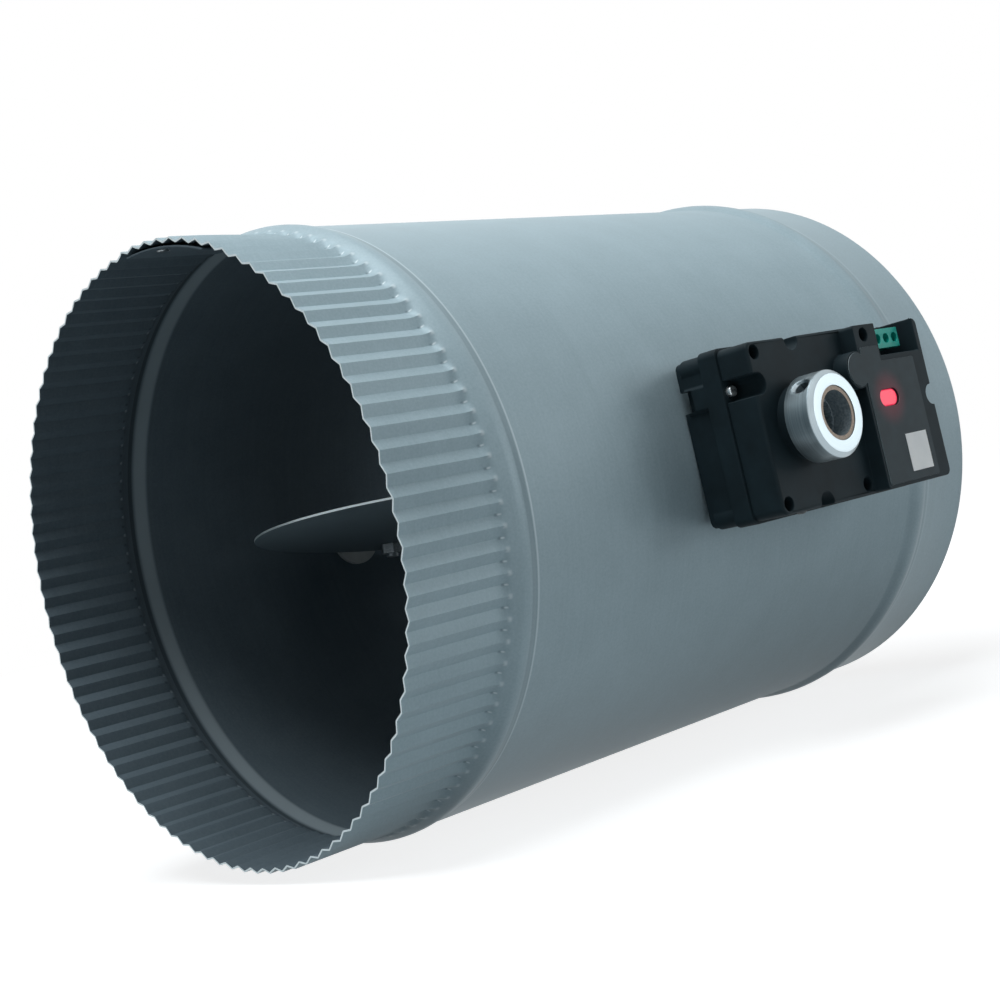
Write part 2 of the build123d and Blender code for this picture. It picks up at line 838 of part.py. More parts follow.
def second_gear():
    turn = meshing_turn(second_angle, output_teeth, second_angle)
    wheel = (second_teeth, second_module, first_angle, mid_at, gear_face)
    pinion = (pinion_teeth, output_module, turn, out_at, output_face)
    return compound_gear(second_place, wheel, pinion)


def first_gear():
    turn = meshing_turn(first_angle, second_teeth, first_angle)
    wheel = (first_teeth, first_module, motor_angle, fast_at, fast_face)
    pinion = (pinion_teeth, second_module, turn, mid_at, gear_face)
    return compound_gear(first_place, wheel, pinion)


def motor_pinion():
    turn = meshing_turn(motor_angle, first_teeth, motor_angle)
    pinion = gear(motor_place, pinion_teeth, first_module, turn, fast_at, fast_face)
    return pinion + rod(motor_place, axle_radius, plate_low_at - motor_shaft_grip, fast_at)


def gear_pins():
    top = front_at - housing_wall - gear_pin_gap
    return Compound(children=[rod(second_place, axle_radius, plate_low_at, top),
                              rod(first_place, axle_radius, plate_low_at, top)])


def gear_plate():
    plate = slab(-plate_left, plate_right, plate_low, plate_high, plate_low_at, plate_top_at)
    holes = [((0, 0), sleeve_radius + sleeve_plate_gap), (motor_place, axle_radius + motor_shaft_gap)]
    holes += [(place, axle_radius) for place in (second_place, first_place)]
    holes += [(place, plate_screw_radius) for place in plate_pillars]
    for place, radius in holes:
        plate -= rod(place, radius, plate_low_at - past, plate_top_at + past)
    return plate


def motor_can():
    low = floor_at + motor_floor_gap
    can = rod(motor_place, motor_radius, low, low + motor_depth)
    can = chamfer(can.edges().filter_by(GeomType.CIRCLE), motor_chamfer)
    bore_low = plate_low_at - motor_shaft_grip - gear_pin_gap
    return can - rod(motor_place, axle_radius + axle_running, bore_low, plate_top_at)


# Switches and board
def switch_body(left, right, bottom, top):
    return slab(left, right, bottom, top, plate_top_at, plate_top_at + switch_height)


def open_limit_switch():
    top = -cam_lobe_radius - switch_gap
    half = switch_length / 2
    return switch_body(-half, half, top - switch_depth, top)


def closed_limit_switch():
    right = -cam_lobe_radius - switch_gap
    half = switch_length / 2
    return switch_body(right - switch_depth, right, -half, half)


def circuit_board():
    board = slab(board_left, board_right, board_low, board_high, board_at, board_top)
    for place in board_pillars:
        board -= rod(place, plate_screw_radius, board_at - past, board_top + past)
    return board


def control_relay():
    width, depth, height = relay_size
    x, z = relay_place
    return slab(x - width / 2, x + width / 2, z - depth / 2, z + depth / 2, board_top, board_top + height)


def pole_places():
    middle = (terminal_low + terminal_high) / 2
    return [(first_pole + pole_pitch * (index + 0.5), middle) for index in range(pole_count)]


def terminal_block():
    block = slab(first_pole, terminal_right, terminal_low, terminal_high, board_top, terminal_top)
    entry_low = board_top + wire_entry_floor
    for place in pole_places():
        sink = terminal_top - terminal_screw_sink - terminal_screw_length
        block -= rod(place, terminal_screw_radius + terminal_screw_gap, sink, terminal_top + past)
        block -= slab(place[0] - wire_entry_width / 2, place[0] + wire_entry_width / 2,
                      terminal_high - wire_entry_depth, terminal_high + past,
                      entry_low, entry_low + wire_entry_height)
    return block


def terminal_screws():
    low = terminal_top - terminal_screw_sink - terminal_screw_length
    screws = []
    for place in pole_places():
        screw = rod(place, terminal_screw_radius, low, low + terminal_screw_length)
        slot = slab(place[0] - terminal_slot_length / 2, place[0] + terminal_slot_length / 2,
                    place[1] - terminal_slot_width / 2, place[1] + terminal_slot_width / 2,
                    low + terminal_screw_length - terminal_slot_depth, low + terminal_screw_length + past)
        screws.append(screw - slot)
    return Compound(children=screws)


def status_led():
    dome = rod((led_x, led_z), lamp_radius, board_top, board_top + lamp_height)
    return chamfer(dome.faces().sort_by(Axis.Y)[0].edges(), lamp_chamfer)


def led_window():
    return led_plug(0.0, block_at - led_lens_depth, block_at - led_sink)


def face_overlay():
    left, right = block_left + overlay_margin, overlay_right
    low, high = block_at, block_at + overlay_thickness
    film = slab(left, right, -housing_half + overlay_margin, recess_low - overlay_recess_margin,
                low, high, overlay_corner)
    film += slab(left, recess_left - overlay_margin, 0, cover_screw_places[3][1] - overlay_screw_margin,
                 low, high, overlay_corner)
    film += rod((boss_x, boss_z), boss_radius - overlay_boss_margin, low, high)
    return film - led_plug(overlay_led_margin, low - past, high + past)


def blank_label():
    half = label_size / 2
    low = block_at + overlay_thickness
    return slab(label_x - half, label_x + half, label_z - half, label_z + half, low, low + label_thickness)


def write_parts():
    os.makedirs("parts", exist_ok=True)
    makers = [
        duct_shell, seam_lap, seam_rivets, drive_bearing, idle_bearing, drive_shaft, shaft_retainer,
        blade, blade_bolts, blade_nuts, actuator_base, actuator_cover, cover_screws, side_screw,
        mounting_screws, plate_screws, board_screws, hub_sleeve, clamp_collar, collar_set_screw,
        limit_cam, output_gear, second_gear, first_gear, motor_pinion, gear_pins, gear_plate,
        motor_can, open_limit_switch, closed_limit_switch, circuit_board, control_relay,
        terminal_block, terminal_screws, status_led, led_window, face_overlay, blank_label,
    ]
    for maker in makers:
        export_step(maker(), f"parts/{maker.__name__}.step")


write_parts()
print("second gear at", second_place, "first gear at", first_place, "motor at", motor_place)
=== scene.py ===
# %% [markdown]
# This lesson dresses a round zone damper: a galvanised sheet tube with a crimped end, a flat blade on
# a cross shaft, and a small geared actuator on its side. The solid model comes in as a fixed frame in
# metres. Everything that shows is then either given a finish, or stood in for by a finer piece.

# %% Load the frame
import math

import bmesh
import bpy
from mathutils import Matrix, Vector


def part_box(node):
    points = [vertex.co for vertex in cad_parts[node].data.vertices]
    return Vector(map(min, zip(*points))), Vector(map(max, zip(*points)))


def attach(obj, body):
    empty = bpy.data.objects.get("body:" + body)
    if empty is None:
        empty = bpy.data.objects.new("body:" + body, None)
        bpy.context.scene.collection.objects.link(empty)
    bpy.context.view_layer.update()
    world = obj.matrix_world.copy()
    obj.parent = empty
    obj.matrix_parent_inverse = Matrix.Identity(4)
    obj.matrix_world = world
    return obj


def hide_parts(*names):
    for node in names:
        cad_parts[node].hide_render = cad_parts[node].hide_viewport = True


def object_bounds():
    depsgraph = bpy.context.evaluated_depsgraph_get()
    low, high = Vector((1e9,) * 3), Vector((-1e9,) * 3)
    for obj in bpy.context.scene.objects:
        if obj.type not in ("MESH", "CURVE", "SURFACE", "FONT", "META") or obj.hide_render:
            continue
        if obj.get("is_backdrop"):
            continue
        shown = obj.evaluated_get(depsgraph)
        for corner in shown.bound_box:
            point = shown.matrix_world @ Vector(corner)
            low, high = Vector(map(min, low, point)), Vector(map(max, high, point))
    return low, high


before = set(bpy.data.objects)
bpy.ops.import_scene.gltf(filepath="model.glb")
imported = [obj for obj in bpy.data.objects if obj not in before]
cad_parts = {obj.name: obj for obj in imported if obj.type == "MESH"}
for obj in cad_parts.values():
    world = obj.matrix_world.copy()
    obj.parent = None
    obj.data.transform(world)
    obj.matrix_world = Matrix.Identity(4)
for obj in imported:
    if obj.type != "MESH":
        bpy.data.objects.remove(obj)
cad_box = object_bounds()
MM = 0.001
print("frame box in mm", [round(v / MM, 1) for corner in cad_box for v in corner])

# %% [markdown]
# The camera stands where the photographer stood. Its place and its three directions were solved from
# the two round rims of the tube, so they are written out rather than aimed at a target: the part leans
# a little in the picture, and aiming would lose that lean.

# %% Camera
SENSOR_WIDTH = 36.0    # millimetres
LENS_LENGTH = 59.95
camera_place = Vector((-0.58416, -0.44363, -0.01495))
camera_right = Vector((0.70410, -0.67366, -0.22455))
camera_up = Vector((0.14571, -0.17243, 0.97419))
camera_data = bpy.data.cameras.new("studio_camera")
camera_data.sensor_width = SENSOR_WIDTH
camera_data.lens = LENS_LENGTH
camera = bpy.data.objects.new("studio_camera", camera_data)
bpy.context.scene.collection.objects.link(camera)
turn = Matrix((camera_right, camera_up, camera_right.cross(camera_up))).transposed()
camera.matrix_world = Matrix.Translation(camera_place) @ turn.to_4x4()
bpy.context.scene.camera = camera
bpy.context.scene.view_settings.view_transform = "Standard"
print("camera's distance from the plain rim's middle in m", round(camera_place.length, 3))

# %% [markdown]
# A material in Blender is a small graph of nodes. One function that adds a node, sets its properties
# and joins its sockets keeps each graph short to read. Colours are written as the sRGB hex values that
# a picture editor shows, and one function turns them to the linear values that the shaders need.

# %% Helpers for colours and nodes
def linear(code):
    """Linear colour with alpha for an sRGB hex value such as #8BA3AC, by the sRGB standard's curve."""
    channels = [int(code[start:start + 2], 16) / 255 for start in (1, 3, 5)]
    return (*[c / 12.92 if c <= 0.04045 else ((c + 0.055) / 1.055) ** 2.4 for c in channels], 1.0)


def add(tree, kind, sockets=None, **settings):
    """Adds a node; a socket's value is a number, a colour or another node's output."""
    made = tree.nodes.new(kind)
    for name, value in settings.items():
        setattr(made, name, value)
    for name, value in (sockets or {}).items():
        if isinstance(value, bpy.types.NodeSocket):
            tree.links.new(value, made.inputs[name])
        else:
            made.inputs[name].default_value = value
    return made


def blank_tree(owner):
    """The empty node tree of a world or a material."""
    owner.use_nodes = True
    owner.node_tree.nodes.clear()
    return owner.node_tree


# %% [markdown]
# The studio has a white surround. Its white must not light the object, so it is switched by the kind
# of ray: what looks at the background sees full white, and what gathers light from it gets only a low
# level. A plain white world would be simpler, but it would wash out every shadow.

# %% White surround
WHITE = linear("#FFFFFF")
AMBIENT = 0.012    # what lights the object, as a share of full white


def seen_directly(tree):
    """1 for rays that look at the surface, in view, in a gloss or through glass, and 0 for the rest."""
    path = add(tree, "ShaderNodeLightPath")
    gloss = add(tree, "ShaderNodeMath", {
        0: path.outputs["Is Camera Ray"], 1: path.outputs["Is Glossy Ray"]}, operation="MAXIMUM")
    through = add(tree, "ShaderNodeMath", {
        0: gloss.outputs[0], 1: path.outputs["Is Transmission Ray"]}, operation="MAXIMUM")
    return through.outputs[0]


world = bpy.data.worlds.new("white_surround")
bpy.context.scene.world = world
tree = blank_tree(world)
level = add(tree, "ShaderNodeMapRange", {"Value": seen_directly(tree), "To Min": AMBIENT, "To Max": 1.0})
sky = add(tree, "ShaderNodeBackground", {"Color": WHITE, "Strength": level.outputs["Result"]})
add(tree, "ShaderNodeOutputWorld", {"Surface": sky.outputs[0]})

# %% [markdown]
# The floor works the same way. It adds its white to a real diffuse surface, so that the shadow of the
# tube still falls on it. The white grows with the distance from the tube, so that the floor melts into
# the background without a horizon.

# %% Pale floor
FLOOR_LIFT = 0.82     # white added under the tube, as a share of full white
FADE_FROM = 0.22      # metres from the tube's middle, where the floor starts to whiten
FADE_TO = 0.6         # metres from the tube's middle, where it is white
FLOOR_REACH = 6.0     # metres from the floor's middle to its sides

floor_paint = bpy.data.materials.new("pale_floor_paint")
tree = blank_tree(floor_paint)
spot = add(tree, "ShaderNodeTexCoord")
reach = add(tree, "ShaderNodeVectorMath", {0: spot.outputs["Object"]}, operation="LENGTH")
fade = add(tree, "ShaderNodeMapRange", {
    "Value": reach.outputs["Value"], "From Min": FADE_FROM, "From Max": FADE_TO,
    "To Min": FLOOR_LIFT, "To Max": 1.0}, interpolation_type="SMOOTHSTEP")
lift = add(tree, "ShaderNodeMath", {
    0: seen_directly(tree), 1: fade.outputs["Result"]}, operation="MULTIPLY")
paint = add(tree, "ShaderNodeBsdfDiffuse", {"Color": linear("#A4A9AC")})
glow = add(tree, "ShaderNodeEmission", {"Color": WHITE, "Strength": lift.outputs[0]})
both = add(tree, "ShaderNodeAddShader", {0: paint.outputs[0], 1: glow.outputs[0]})
add(tree, "ShaderNodeOutputMaterial", {"Surface": both.outputs[0]})

middle = (cad_box[0] + cad_box[1]) / 2
shape = bmesh.new()
bmesh.ops.create_grid(shape, x_segments=1, y_segments=1, size=FLOOR_REACH)
floor_mesh = bpy.data.meshes.new("studio_floor")
shape.to_mesh(floor_mesh)
shape.free()
floor_mesh.materials.append(floor_paint)
floor = bpy.data.objects.new("studio_floor", floor_mesh)
floor.location = (middle.x, middle.y, cad_box[0].z)
bpy.context.scene.collection.objects.link(floor)
floor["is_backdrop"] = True

# %% [markdown]
# The tube is brightest along its top, most of all near the crimped end, and fades evenly downwards:
# that is a wide lamp overhead and to the left. A wide, weaker lamp in front and to the right gives the
# actuator its soft shadow. A narrow one beside it reaches through the plain end to the far wall. A
# small fill near the camera lights the mouth of the crimped end, and a small lamp above the camera
# brings out the flats of the crimps.

# %% Soft lamps
LAMPS = (
    # name, place from the part's middle in metres, width in metres, power in watts
    ("overhead_softbox", (-0.28, -0.06, 1.0), 0.8, 12.2),
    ("right_softbox", (1.1, -1.3, 0.1), 1.1, 7.6),
    ("narrow_right_lamp", (1.06, -1.47, 0.05), 0.15, 1.3),
    ("camera_fill", (-0.6, -1.4, 0.1), 0.5, 0.6),
    ("left_softbox", (-0.6, -0.5, 0.5), 0.3, 0.4),
)


def soft_lamp(name, place, width, power):
    """A square lamp that points at the middle of the part."""
    data = bpy.data.lights.new(name, "AREA")
    data.shape = "SQUARE"
    data.size = width
    data.energy = power
    lamp = bpy.data.objects.new(name, data)
    bpy.context.scene.collection.objects.link(lamp)
    lamp.location = middle + Vector(place)
    lamp.rotation_mode = "QUATERNION"
    lamp.rotation_quaternion = (-Vector(place)).to_track_quat("-Z", "Y")


for lamp_row in LAMPS:
    soft_lamp(*lamp_row)
print("lamps", len(LAMPS))

# %% [markdown]
# Most finishes start the same way: one shader with a base colour, a metallic share and a roughness. A
# pattern then varies the colour and presses a fine relief. Patterns read Object coordinates, which are
# metres here, so a pattern's scale is one over the size of its grain. Noise seldom strays far from its
# middle value of one half, so only that middle part is spread over the colours and the roughness.

# %% Helpers for a finish
RAMP_REACH = 0.25    # how far from the middle the noise reaches the full dark and the full light
NOISE_LOW = 0.3      # the noise's values that give the lowest and the highest roughness
NOISE_HIGH = 0.7
FINE_LAYERS = 2.0    # how many finer layers a fine noise has on top of its own grain
SOFT_LAYERS = 3.0    # and a soft one, which needs more of them to look natural


def finish(name, base, metallic, roughness, **sockets):
    """A material with one shader; a pattern may take the place of its base colour later."""
    material = bpy.data.materials.new(name)
    tree = blank_tree(material)
    shader = add(tree, "ShaderNodeBsdfPrincipled",
                 {"Base Color": linear(base), "Metallic": metallic, "Roughness": roughness})
    for socket, value in sockets.items():
        shader.inputs[socket.replace("_", " ")].default_value = value
    add(tree, "ShaderNodeOutputMaterial", {"Surface": shader.outputs[0]})
    return material, tree, shader


def grain(tree, size, layers=FINE_LAYERS):
    """Noise whose grains have one size in millimetres, or three along X, Y and Z."""
    along_axes = size if isinstance(size, tuple) else (size, size, size)
    place = add(tree, "ShaderNodeTexCoord")
    scaled = add(tree, "ShaderNodeMapping", {
        "Vector": place.outputs["Object"], "Scale": [1 / (length * MM) for length in along_axes]})
    noise = add(tree, "ShaderNodeTexNoise", {"Vector": scaled.outputs[0], "Scale": 1.0, "Detail": layers})
    return noise.outputs["Fac"]


def shade(tree, shader, pattern, dark, light):
    """Colours the shader between two hex values by a pattern."""
    ramp = add(tree, "ShaderNodeValToRGB", {"Fac": pattern})
    ends = ((-RAMP_REACH, dark), (RAMP_REACH, light))
    for element, (offset, code) in zip(ramp.color_ramp.elements, ends):
        element.position = 0.5 + offset
        element.color = linear(code)
    tree.links.new(ramp.outputs[0], shader.inputs["Base Color"])


def relief(tree, shader, pattern, depth, strength):
    """Presses a pattern into the surface; the depth is in millimetres."""
    bump = add(tree, "ShaderNodeBump", {"Height": pattern, "Distance": depth * MM, "Strength": strength})
    tree.links.new(bump.outputs[0], shader.inputs["Normal"])


def vary_roughness(tree, shader, pattern, low, high):
    """Changes the roughness between two values by a pattern."""
    spread = add(tree, "ShaderNodeMapRange", {
        "Value": pattern, "From Min": NOISE_LOW, "From Max": NOISE_HIGH, "To Min": low, "To Max": high})
    tree.links.new(spread.outputs[0], shader.inputs["Roughness"])


# %% [markdown]
# Galvanised sheet is mild steel with a dull zinc skin, dipped hot and then rolled. The zinc scatters
# most of the light, so the metallic share is low for a metal. Dipping leaves soft clouds, the rolls
# leave faint marks round the tube, and the skin has a fine even speck. Together they keep the large
# plain surface from looking painted.

# %% Galvanised sheet
CLOUD = 16.0                  # sizes in millimetres
ROLL_MARK = (1.1, 70.0, 70.0)
SPECK = 0.8
SPECK_DEPTH = 0.02
SPECK_STRENGTH = 0.4
ROLL_SHARE = 0.35             # share of the roll marks in the clouds, and of the speck in both
SPECK_SHARE = 0.45
GLOSS_CHANGE = 0.05           # how far the roughness strays to either side


def galvanised(name, dark, light, metallic, roughness, **sockets):
    """Zinc-coated sheet with clouds, roll marks and a speck."""
    material, tree, shader = finish(name, light, metallic, roughness, **sockets)
    cloud = grain(tree, CLOUD, SOFT_LAYERS)
    rolled = grain(tree, ROLL_MARK)
    speck = grain(tree, SPECK)
    soft = add(tree, "ShaderNodeMix", {"Factor": ROLL_SHARE, 2: cloud, 3: rolled})
    both = add(tree, "ShaderNodeMix", {"Factor": SPECK_SHARE, 2: soft.outputs[0], 3: speck})
    shade(tree, shader, both.outputs[0], dark, light)
    vary_roughness(tree, shader, both.outputs[0], roughness - GLOSS_CHANGE, roughness + GLOSS_CHANGE)
    relief(tree, shader, speck, SPECK_DEPTH, SPECK_STRENGTH)
    return material


# %% [markdown]
# The crimps and the beads catch light in places too fine for the geometry's own shading. The ends of
# the crimps' crests get a painted highlight and the ends of their valleys painted shade. Each bead gets
# painted shade on its flank that turns from the light, with a painted highlight along its foot. Inside,
# the flank of each bead's groove that faces the open end gets a painted highlight, with a painted shade
# line beside it. They are mixed into the sheet's colour by the place along the tube and the angle round
# it, both worked out from the Object coordinates.

# %% Painted highlights and shade of the crimps and beads
CRIMPS = 92
CREST_AT = 1.4      # angle of one crest in degrees
MARK_CORE = 0.1     # millimetres to either side of a mark's place where it is full
BAND_CORE = 0.5     # share of a band's half width where it is full
# Each row is the place along the tube and the reach in millimetres, the wave's values between which
# the mark grows (1 is a crest and -1 a valley), its colour and its share.
# Painted highlights on the ends of the crests, and painted shade in the ends of the valleys.
CRIMP_GLINTS_AND_SHADE = (
    (-252.7, 1.0, 0.6, 1.0, "#E4F0F4", 0.35),
    (-254.2, 0.8, -0.85, -1.0, "#3E4E55", 0.35),
    (-253.3, 0.6, -0.95, -1.0, "#E4F0F4", 0.6),
)
CRIMP_GLINTS_AND_SHADE_INSIDE = (
    # The same inside: painted highlights at the crests' ends and painted shade at the valleys' ends.
    (-253.2, 1.0, 0.8, 1.0, "#B4C3CA", 0.5),
    (-254.6, 1.0, -0.8, -1.0, "#1E262A", 0.4),
)
# Each row is the place along the tube and the half width in millimetres, the colour and its share.
# Painted shade on the flank of each bead, and a painted highlight along its foot.
BEAD_SHADE_AND_HIGHLIGHTS = (
    (-29.6, 4.6, "#566A72", 0.22),
    (-25.2, 0.6, "#D4E4EA", 0.15),
    (-243.7, 1.9, "#566A72", 0.28),
    (-241.8, 0.45, "#D4E4EA", 0.45),
)
# Inside: a painted highlight on the lit flank of each bead's groove, and a painted shade line beside it.
BEAD_SHADE_AND_HIGHLIGHTS_INSIDE = (
    (-244.2, 3.4, "#A4B4BB", 0.6),
    (-248.4, 1.2, "#1E262A", 0.5),
)


def fading(tree, along, at, core, reach, amount):
    """The amount at a place along the tube, which fades to 0 at its reach; sizes in millimetres."""
    past = add(tree, "ShaderNodeMath", {0: along, 1: at * MM}, operation="SUBTRACT")
    off = add(tree, "ShaderNodeMath", {0: past.outputs[0]}, operation="ABSOLUTE")
    near = add(tree, "ShaderNodeMapRange", {
        "Value": off.outputs[0], "From Min": core * MM, "From Max": reach * MM, "To Min": amount,
        "To Max": 0.0}, interpolation_type="SMOOTHSTEP")
    return near.outputs["Result"]


def tinted(tree, colour, share, code):
    """A colour mixed with a hex value by a share."""
    mixed = add(tree, "ShaderNodeMix", {0: share, 6: colour, 7: linear(code)}, data_type="RGBA")
    return mixed.outputs[2]


def crimp_wave(tree, split):
    """The cosine that is 1 on the crests and -1 in the valleys."""
    across = add(tree, "ShaderNodeMath", {0: split.outputs[1], 1: -1.0}, operation="MULTIPLY")
    angle = add(tree, "ShaderNodeMath", {0: split.outputs[2], 1: across.outputs[0]}, operation="ARCTAN2")
    around = add(tree, "ShaderNodeMath", {
        0: angle.outputs[0], 1: CRIMPS, 2: -CRIMPS * math.radians(CREST_AT)}, operation="MULTIPLY_ADD")
    wave = add(tree, "ShaderNodeMath", {0: around.outputs[0]}, operation="COSINE")
    return wave.outputs[0]


def paint_glints_and_shade(material, marks, bands):
    """Paints highlights and shade on the ends of the crimps' crests and valleys, and on the flanks of the
    beads.
    """
    tree = material.node_tree
    shader = next(node for node in tree.nodes if node.type == "BSDF_PRINCIPLED")
    place = add(tree, "ShaderNodeTexCoord")
    split = add(tree, "ShaderNodeSeparateXYZ", {0: place.outputs["Object"]})
    along = split.outputs[0]
    wave = crimp_wave(tree, split)
    colour = shader.inputs["Base Color"].links[0].from_socket
    for at, reach, start, end, code, amount in marks:
        near = fading(tree, along, at, MARK_CORE, reach, 1.0)
        band = add(tree, "ShaderNodeMapRange", {
            "Value": wave, "From Min": start, "From Max": end, "To Max": amount})
        share = add(tree, "ShaderNodeMath", {0: band.outputs["Result"], 1: near}, operation="MULTIPLY")
        colour = tinted(tree, colour, share.outputs[0], code)
    for at, half, code, amount in bands:
        colour = tinted(tree, colour, fading(tree, along, at, BAND_CORE * half, half, amount), code)
    tree.links.new(colour, shader.inputs["Base Color"])


# %% [markdown]
# The same sheet is given different colours by its place. The outside is pale and a little glossy. The
# blade and the inside are painted darker, as painted shade, and the inside is also duller. The lap of
# the seam has the inside's painted shade without the painted highlights and shade of the crimps and
# beads. Where the sheet was cut, bare steel shows, painted much brighter as a highlight: a bright line.

# %% Sheet outside, inside, blade and cut edge
# The inside's darker colour is painted shade: it is the same zinc as the outside.
SHADED_INSIDE_SKIN = ("#52616A", "#62717A", 0.04, 0.75)    # dark, light, metallic share and roughness
sheet_outside = galvanised("galvanised_sheet", "#8FA5AE", "#A2B8C1", metallic=0.09, roughness=0.45,
                           Specular_IOR_Level=0.15)
paint_glints_and_shade(sheet_outside, CRIMP_GLINTS_AND_SHADE, BEAD_SHADE_AND_HIGHLIGHTS)
# The blade's darker colour is painted shade.
blade_skin_shaded = galvanised("galvanised_blade_painted_shade", "#61717A", "#72838B", metallic=0.1, roughness=0.6,
                        Specular_IOR_Level=0.25)
sheet_inside_shaded = galvanised("galvanised_sheet_inside_painted_shade", *SHADED_INSIDE_SKIN, Specular_IOR_Level=0.1)
tube_inside_shaded = galvanised("galvanised_tube_inside_painted_shade", *SHADED_INSIDE_SKIN, Specular_IOR_Level=0.1)
paint_glints_and_shade(tube_inside_shaded, CRIMP_GLINTS_AND_SHADE_INSIDE, BEAD_SHADE_AND_HIGHLIGHTS_INSIDE)
# The cut edge is bare steel, painted much brighter as a highlight.
sheet_edge_highlight = galvanised("galvanised_sheet_cut_edge_painted_highlight", "#C6D8DE", "#DFECF0", metallic=0.4, roughness=0.4)
print("marks in the sheet", len(CRIMP_GLINTS_AND_SHADE + BEAD_SHADE_AND_HIGHLIGHTS), "outside",
      len(CRIMP_GLINTS_AND_SHADE_INSIDE + BEAD_SHADE_AND_HIGHLIGHTS_INSIDE), "inside")

# %% [markdown]
# The housing is black ABS from a spark-eroded mould, which gives it a fine even tooth and no shine. The
# other plastics are smoother. Each gets a faint change of tone, because a perfectly even colour looks
# painted. A tooth finer than the picture's pixels wouldn't show, so it is drawn about twice as coarse
# as the mould's.

# %% Plastics
TONE = 9.0              # size of the changes of tone in millimetres
TOOTH_STRENGTH = 0.6


def moulded(name, dark, light, roughness, tooth=0.5, depth=0.02, **sockets):
    """Moulded plastic with a tooth of a given size and depth in millimetres."""
    material, tree, shader = finish(name, light, 0.0, roughness, **sockets)
    shade(tree, shader, grain(tree, TONE, SOFT_LAYERS), dark, light)
    relief(tree, shader, grain(tree, tooth), depth, TOOTH_STRENGTH)
    return material


housing = moulded("spark_eroded_abs", "#141F24", "#1C2A30", roughness=0.6, tooth=0.45,
                  Specular_IOR_Level=0.1)
nylon = moulded("moulded_nylon", "#23272A", "#2D3236", roughness=0.5)
natural_nylon = moulded("natural_nylon", "#A8AFAE", "#C0C7C6", roughness=0.45)
acetal = moulded("moulded_acetal", "#D6D2C4", "#E6E3D8", roughness=0.35, tooth=1.2, depth=0.01)
switch_case = moulded("switch_case_pbt", "#161B2A", "#1F2638", roughness=0.45)
board = moulded("solder_mask_on_laminate", "#0F4A2B", "#175C37", roughness=0.35, tooth=1.5)
terminal = moulded("terminal_polyamide", "#0AA294", "#10AFA1", roughness=0.4, tooth=0.8, depth=0.01,
                   Specular_IOR_Level=0.2)
paper = moulded("matt_label_paper", "#DDE5E8", "#EDF3F5", roughness=0.6, tooth=0.3, depth=0.01)

# %% [markdown]
# Turned aluminium shows rings from the lathe's tool, and they make its gloss run round the part. The
# rings are a pattern of the distance from the turning axis, so the Mapping node first brings that axis
# to the middle. The collar's side was turned more coarsely than its face, and is painted darker as shade.

# %% Turned metal
RING_STRENGTH = 0.6
RING_DULLING = 0.08     # how much rougher the bottoms of the rings are
shaft_line = (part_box("hub_sleeve")[0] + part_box("hub_sleeve")[1]) / 2


def turned(name, dark, light, metallic, roughness, ring, depth):
    """Metal turned about the shaft's line; the rings' width and depth are in millimetres."""
    material, tree, shader = finish(name, light, metallic, roughness)
    place = add(tree, "ShaderNodeTexCoord")
    centred = add(tree, "ShaderNodeMapping", {
        "Vector": place.outputs["Object"], "Location": (-shaft_line.x, 0, -shaft_line.z)})
    split = add(tree, "ShaderNodeSeparateXYZ", {0: centred.outputs[0]})
    flat = add(tree, "ShaderNodeCombineXYZ", {0: split.outputs[0], 2: split.outputs[2]})
    out = add(tree, "ShaderNodeVectorMath", {0: flat.outputs[0]}, operation="LENGTH")
    rings = add(tree, "ShaderNodeCombineXYZ", {0: out.outputs["Value"], 1: split.outputs[1]})
    lines = add(tree, "ShaderNodeTexNoise", {
        "Vector": rings.outputs[0], "Scale": 1 / (ring * MM), "Detail": FINE_LAYERS})
    shade(tree, shader, lines.outputs["Fac"], dark, light)
    vary_roughness(tree, shader, lines.outputs["Fac"], roughness - GLOSS_CHANGE,
                   roughness + RING_DULLING)
    relief(tree, shader, lines.outputs["Fac"], depth, RING_STRENGTH)
    return material


# The side's darker colour is painted shade.
collar_side_shaded = turned("turned_aluminium_side_painted_shade", "#5E6C72", "#7B898F", metallic=0.85, roughness=0.38,
                     ring=0.5, depth=0.001)
collar_metal = turned("turned_aluminium", "#9EADB4", "#B9C6CC", metallic=0.8, roughness=0.35,
                      ring=0.35, depth=0.003)

# %% [markdown]
# The other metals are plated, sintered or blackened, and none of them is a mirror. Fine spots in their
# colour and gloss stand for the grain of the plating or of the pressed powder.

# %% Plain metals
PIT_DEPTH = 0.004      # millimetres
PIT_STRENGTH = 0.3


def plain_metal(name, dark, light, metallic, roughness, size=1.5):
    """Plated or sintered metal with grains of a size in millimetres."""
    material, tree, shader = finish(name, light, metallic, roughness)
    spots = grain(tree, size, SOFT_LAYERS)
    shade(tree, shader, spots, dark, light)
    vary_roughness(tree, shader, spots, roughness - GLOSS_CHANGE, roughness + GLOSS_CHANGE)
    relief(tree, shader, spots, PIT_DEPTH, PIT_STRENGTH)
    return material


bore_metal = plain_metal("broached_steel", "#69757B", "#9AA8AF", metallic=0.25, roughness=0.4, size=0.8)
sleeve_metal = plain_metal("sintered_steel", "#5A524A", "#857A6E", metallic=0.6, roughness=0.5, size=0.5)
plated = plain_metal("bright_zinc_plate", "#AEB8BC", "#D5DDE0", metallic=0.9, roughness=0.3)
blackened = plain_metal("blackened_screw_steel", "#1A2225", "#2C363A", metallic=0.5, roughness=0.45)
dull_plate = plain_metal("plated_motor_steel", "#9AA2A5", "#B9C0C2", metallic=0.9, roughness=0.35,
                         size=3.0)
brass = plain_metal("machined_brass", "#B08D43", "#CDAE66", metallic=0.95, roughness=0.3, size=0.8)

